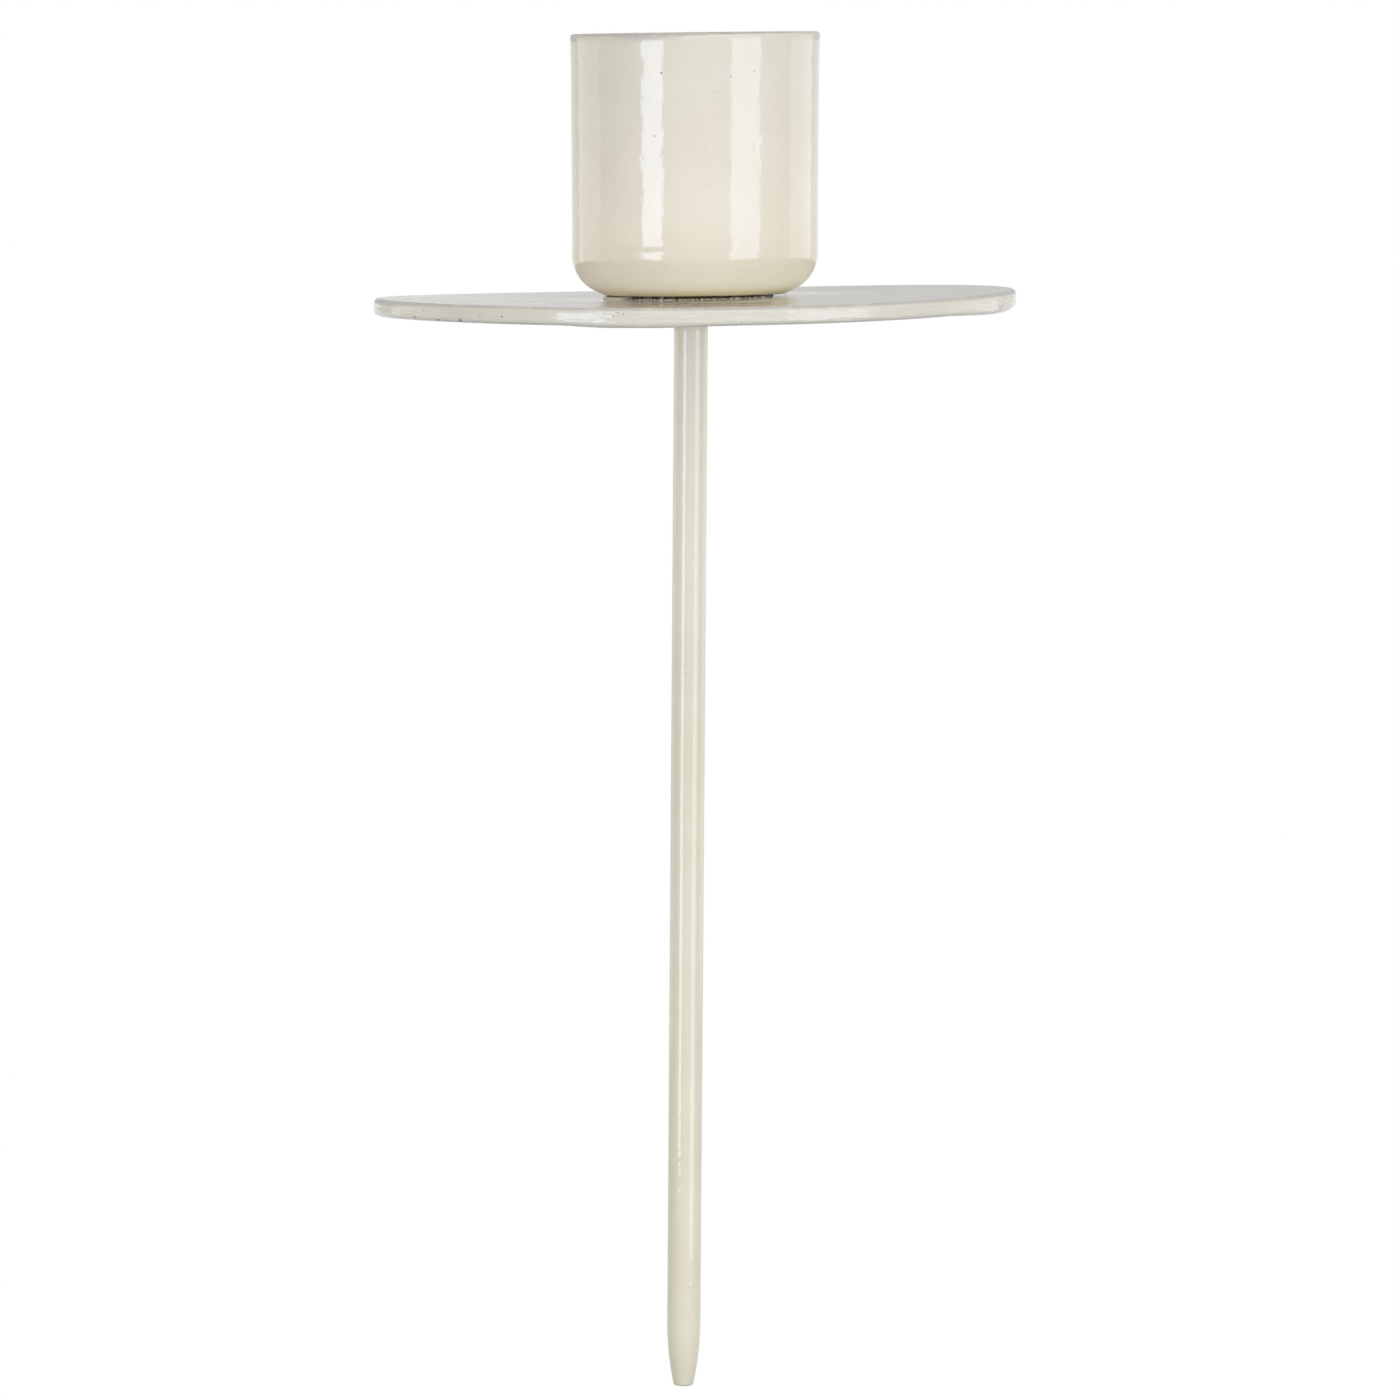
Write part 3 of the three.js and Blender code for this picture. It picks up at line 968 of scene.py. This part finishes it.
def grain_tree(sizes, material):
    """Round grains of random size and colour on the points of a mesh."""
    tree, given = geometry_tree("seam_grains", sizes)
    link = tree.links.new
    ball = node(tree, "GeometryNodeMeshIcoSphere", Subdivisions=2)
    smooth = node(tree, "GeometryNodeSetShadeSmooth")
    size = node(tree, "FunctionNodeRandomValue", data_type="FLOAT_VECTOR")
    size.inputs["Min"].default_value = GRAIN_LEAST
    size.inputs["Max"].default_value = GRAIN_MOST
    brown = node(tree, "FunctionNodeRandomValue", data_type="FLOAT")
    brown.inputs[2].default_value, brown.inputs[3].default_value = GRAIN_BROWN
    coloured = node(tree, "GeometryNodeStoreNamedAttribute", data_type="FLOAT", domain="INSTANCE")
    coloured.inputs["Name"].default_value = "brown_share"
    grains = node(tree, "GeometryNodeInstanceOnPoints")
    real = node(tree, "GeometryNodeRealizeInstances")
    painted = node(tree, "GeometryNodeSetMaterial", Material=material)
    out = tree.nodes.new("NodeGroupOutput")
    link(given.outputs["Radius"], ball.inputs["Radius"])
    link(given.outputs["Seed"], size.inputs["Seed"])
    link(given.outputs["Seed"], brown.inputs["Seed"])
    link(ball.outputs["Mesh"], smooth.inputs["Geometry"])
    link(given.outputs["Geometry"], grains.inputs["Points"])
    link(smooth.outputs["Geometry"], grains.inputs["Instance"])
    link(size.outputs["Value"], grains.inputs["Scale"])
    link(grains.outputs["Instances"], coloured.inputs["Geometry"])
    link(brown.outputs[1], coloured.inputs["Value"])
    link(coloured.outputs["Geometry"], real.inputs["Geometry"])
    link(real.outputs["Geometry"], painted.inputs["Geometry"])
    link(painted.outputs["Geometry"], out.inputs["Geometry"])
    return tree


grain_points = []
for i in range(int(math.radians(GRAIN_ARC[1] - GRAIN_ARC[0]) * GRAIN_ROW / GRAIN_STEP)):
    angle = math.radians(GRAIN_ARC[0]) + i * GRAIN_STEP / GRAIN_ROW
    for row, seed in enumerate(GRAIN_STRAY_SEEDS):
        radius = GRAIN_ROW + GRAIN_ROWS_APART * row + GRAIN_STRAY * wander(angle, seed)
        x, y = radius * math.cos(angle), radius * math.sin(angle)
        grain_points.append(Vector((x, y, plate_at(x, y) + GRAIN_LIFT)) * MM)
grain_base = bpy.data.meshes.new("grain_base")
grain_base.from_pydata(grain_points, [], [])
grain_sizes = {"Radius": GRAIN_RADIUS * MM, "Seed": GRAIN_SEED}
grains = grown("seam_grains", grain_base,
               grain_tree(grain_sizes, bpy.data.materials["seam_enamel"]), grain_sizes)
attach(grains, "root")


# Spike. Drawn steel wire, swaged to a blunt point that pushes into a wreath without tearing it. It
# moved a little in its jig, so it stands 0.4 mm off the cup's axis and leans by 0.4 degrees.
SPIKE_RADIUS = 1.7
SPIKE_TIP = -108.3
POINT_LENGTH = 6.6
POINT_END = 0.975
POINT_ROUND = 0.25
SPIKE_SIDES = 96
SPIKE_ASIDE = -0.395
SPIKE_LEAN = math.radians(-0.418)
SPIKE_TINT = (1.0, 0.99, 0.905)
# Painted light: the spike is paler towards the plate, which lifts the plate's shadow on it.
SPIKE_PAINTED_LIGHT = (1.0, 0.935, 0.80)
SPIKE_PAINTED_LIGHT_DOWN = (6, 45)


def spike_profile():
    """From the tip up to the plate. The point is one long arc, cut off square and eased."""
    start = SPIKE_TIP + POINT_LENGTH
    drop = SPIKE_RADIUS - POINT_END
    sweep = (POINT_LENGTH ** 2 + drop ** 2) / (2 * drop)
    centre = SPIKE_RADIUS - sweep
    rise = POINT_LENGTH - POINT_ROUND
    ease_r = centre + math.sqrt((sweep - POINT_ROUND) ** 2 - rise ** 2)
    ease_end = -math.degrees(math.atan2(rise, ease_r - centre))
    end = arc(ease_r, SPIKE_TIP + POINT_ROUND, POINT_ROUND, -90, ease_end, 8)
    point = arc(centre, start, sweep, ease_end, 0, 24)[1:]
    shank = straight(point[-1], (SPIKE_RADIUS, 0), 60)
    face = [(0, SPIKE_TIP)] + straight((0, SPIKE_TIP), end[0], 4)
    return face + end + point + shank + [(SPIKE_RADIUS, 0), (0, 0)]


def spike_stand(point):
    """The spike's place beside the axis, and its lean."""
    return Vector((SPIKE_ASIDE + point.z * math.tan(-SPIKE_LEAN), 0, 0))


def spike_painted_light(point):
    """Painted light: paler towards the plate, lifting the shade that the plate casts on the spike.
    """
    return 1 - ease(-point.z, *SPIKE_PAINTED_LIGHT_DOWN)


spike = turned("spike_wire", spike_profile(), SPIKE_SIDES, spike_stand, pooled_paint=spike_painted_light)
spike.data.materials.append(enamel("spike_enamel", peel=0.6, tint=SPIKE_TINT, pool=SPIKE_PAINTED_LIGHT))
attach(spike, "root")
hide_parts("spike")


# Spike weld. A bead run round the end of the wire where it meets the plate, painted over. The
# welder laid it drop by drop, so it is rippled all the way round.
BEAD_ROUND = 0.64
BEAD_CENTRE = 1.88
BEAD_SINK = 0.12
BEAD_RIPPLES = 17
BEAD_RIPPLE_DEPTH = 0.09
BEAD_CREST = 0.4
BEAD_BOW = 0.26
BEAD_SWELL = 0.6
BEAD_SIDES = 340
BEAD_SECTION_SIDES = 40
BEAD_SEED = 3


def bead_tree(sizes, material):
    """A ring of round section about Z with ripples across it, cut flat at its top."""
    tree, given = geometry_tree("spike_bead", sizes)
    link = tree.links.new

    def maths(operation, one, other):
        """The outcome of one sum on two values, each a socket or a number."""
        made = node(tree, "ShaderNodeMath", operation=operation)
        for k, value in enumerate((one, other)):
            if isinstance(value, (int, float)):
                made.inputs[k].default_value = value
            elif value:
                link(value, made.inputs[k])
        return made.outputs[0]

    path = node(tree, "GeometryNodeCurvePrimitiveCircle", Resolution=BEAD_SIDES)
    section = node(tree, "GeometryNodeCurvePrimitiveCircle", Resolution=BEAD_SECTION_SIDES)
    swept = node(tree, "GeometryNodeCurveToMesh")
    place = tree.nodes.new("GeometryNodeInputPosition")
    split = node(tree, "ShaderNodeSeparateXYZ")
    uneven = node(tree, "ShaderNodeTexNoise", noise_dimensions="4D", Scale=700, Detail=2)
    facing = tree.nodes.new("GeometryNodeInputNormal")
    away = node(tree, "ShaderNodeVectorMath", operation="SCALE")
    rippled = tree.nodes.new("GeometryNodeSetPosition")
    after = tree.nodes.new("GeometryNodeInputPosition")
    after_split = node(tree, "ShaderNodeSeparateXYZ")
    cut = node(tree, "ShaderNodeCombineXYZ")
    flat = tree.nodes.new("GeometryNodeSetPosition")
    smooth = node(tree, "GeometryNodeSetShadeSmooth")
    real = node(tree, "GeometryNodeRealizeInstances")
    painted = node(tree, "GeometryNodeSetMaterial", Material=material)
    out = tree.nodes.new("NodeGroupOutput")
    link(given.outputs["Centre Radius"], path.inputs["Radius"])
    link(given.outputs["Round"], section.inputs["Radius"])
    link(path.outputs["Curve"], swept.inputs["Curve"])
    link(section.outputs["Curve"], swept.inputs["Profile Curve"])
    link(place.outputs[0], split.inputs[0])
    link(place.outputs[0], uneven.inputs["Vector"])
    link(maths("ADD", given.outputs["Seed"], 0.5), uneven.inputs["W"])
    turn = maths("ARCTAN2", split.outputs["Y"], split.outputs["X"])
    below = maths("ABSOLUTE", maths("ADD", split.outputs["Z"], BEAD_CREST * MM), 0)
    bowed = maths("ADD", turn, maths("MULTIPLY", below, BEAD_BOW / MM))
    phase = maths("MULTIPLY", bowed, maths("DIVIDE", given.outputs["Ripples"], 2))
    crest = maths("SUBTRACT", maths("ABSOLUTE", maths("SINE", phase, 0), 0), 1)
    rough = maths("ADD", crest, maths("SUBTRACT", uneven.outputs["Fac"], BEAD_SWELL))
    link(facing.outputs[0], away.inputs[0])
    link(maths("MULTIPLY", rough, given.outputs["Ripple Depth"]), away.inputs["Scale"])
    link(swept.outputs["Mesh"], rippled.inputs["Geometry"])
    link(away.outputs[0], rippled.inputs["Offset"])
    link(after.outputs[0], after_split.inputs[0])
    link(after_split.outputs["X"], cut.inputs["X"])
    link(after_split.outputs["Y"], cut.inputs["Y"])
    sunk = maths("SUBTRACT", after_split.outputs["Z"], given.outputs["Sink"])
    link(maths("MINIMUM", sunk, 0), cut.inputs["Z"])
    link(rippled.outputs["Geometry"], flat.inputs["Geometry"])
    link(cut.outputs[0], flat.inputs["Position"])
    link(flat.outputs["Geometry"], smooth.inputs["Geometry"])
    link(smooth.outputs["Geometry"], real.inputs["Geometry"])
    link(real.outputs["Geometry"], painted.inputs["Geometry"])
    link(painted.outputs["Geometry"], out.inputs["Geometry"])
    return tree


bead_sizes = {"Centre Radius": BEAD_CENTRE * MM, "Round": BEAD_ROUND * MM, "Sink": BEAD_SINK * MM,
              "Ripples": BEAD_RIPPLES, "Ripple Depth": BEAD_RIPPLE_DEPTH * MM, "Seed": BEAD_SEED}
bead = grown("spike_bead", bpy.data.meshes.new("bead_base"),
             bead_tree(bead_sizes, enamel("bead_enamel", peel=0.6)), bead_sizes)
for corner in bead.data.vertices:
    corner.co.x += SPIKE_ASIDE * MM
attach(bead, "root")
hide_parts("spike_weld")
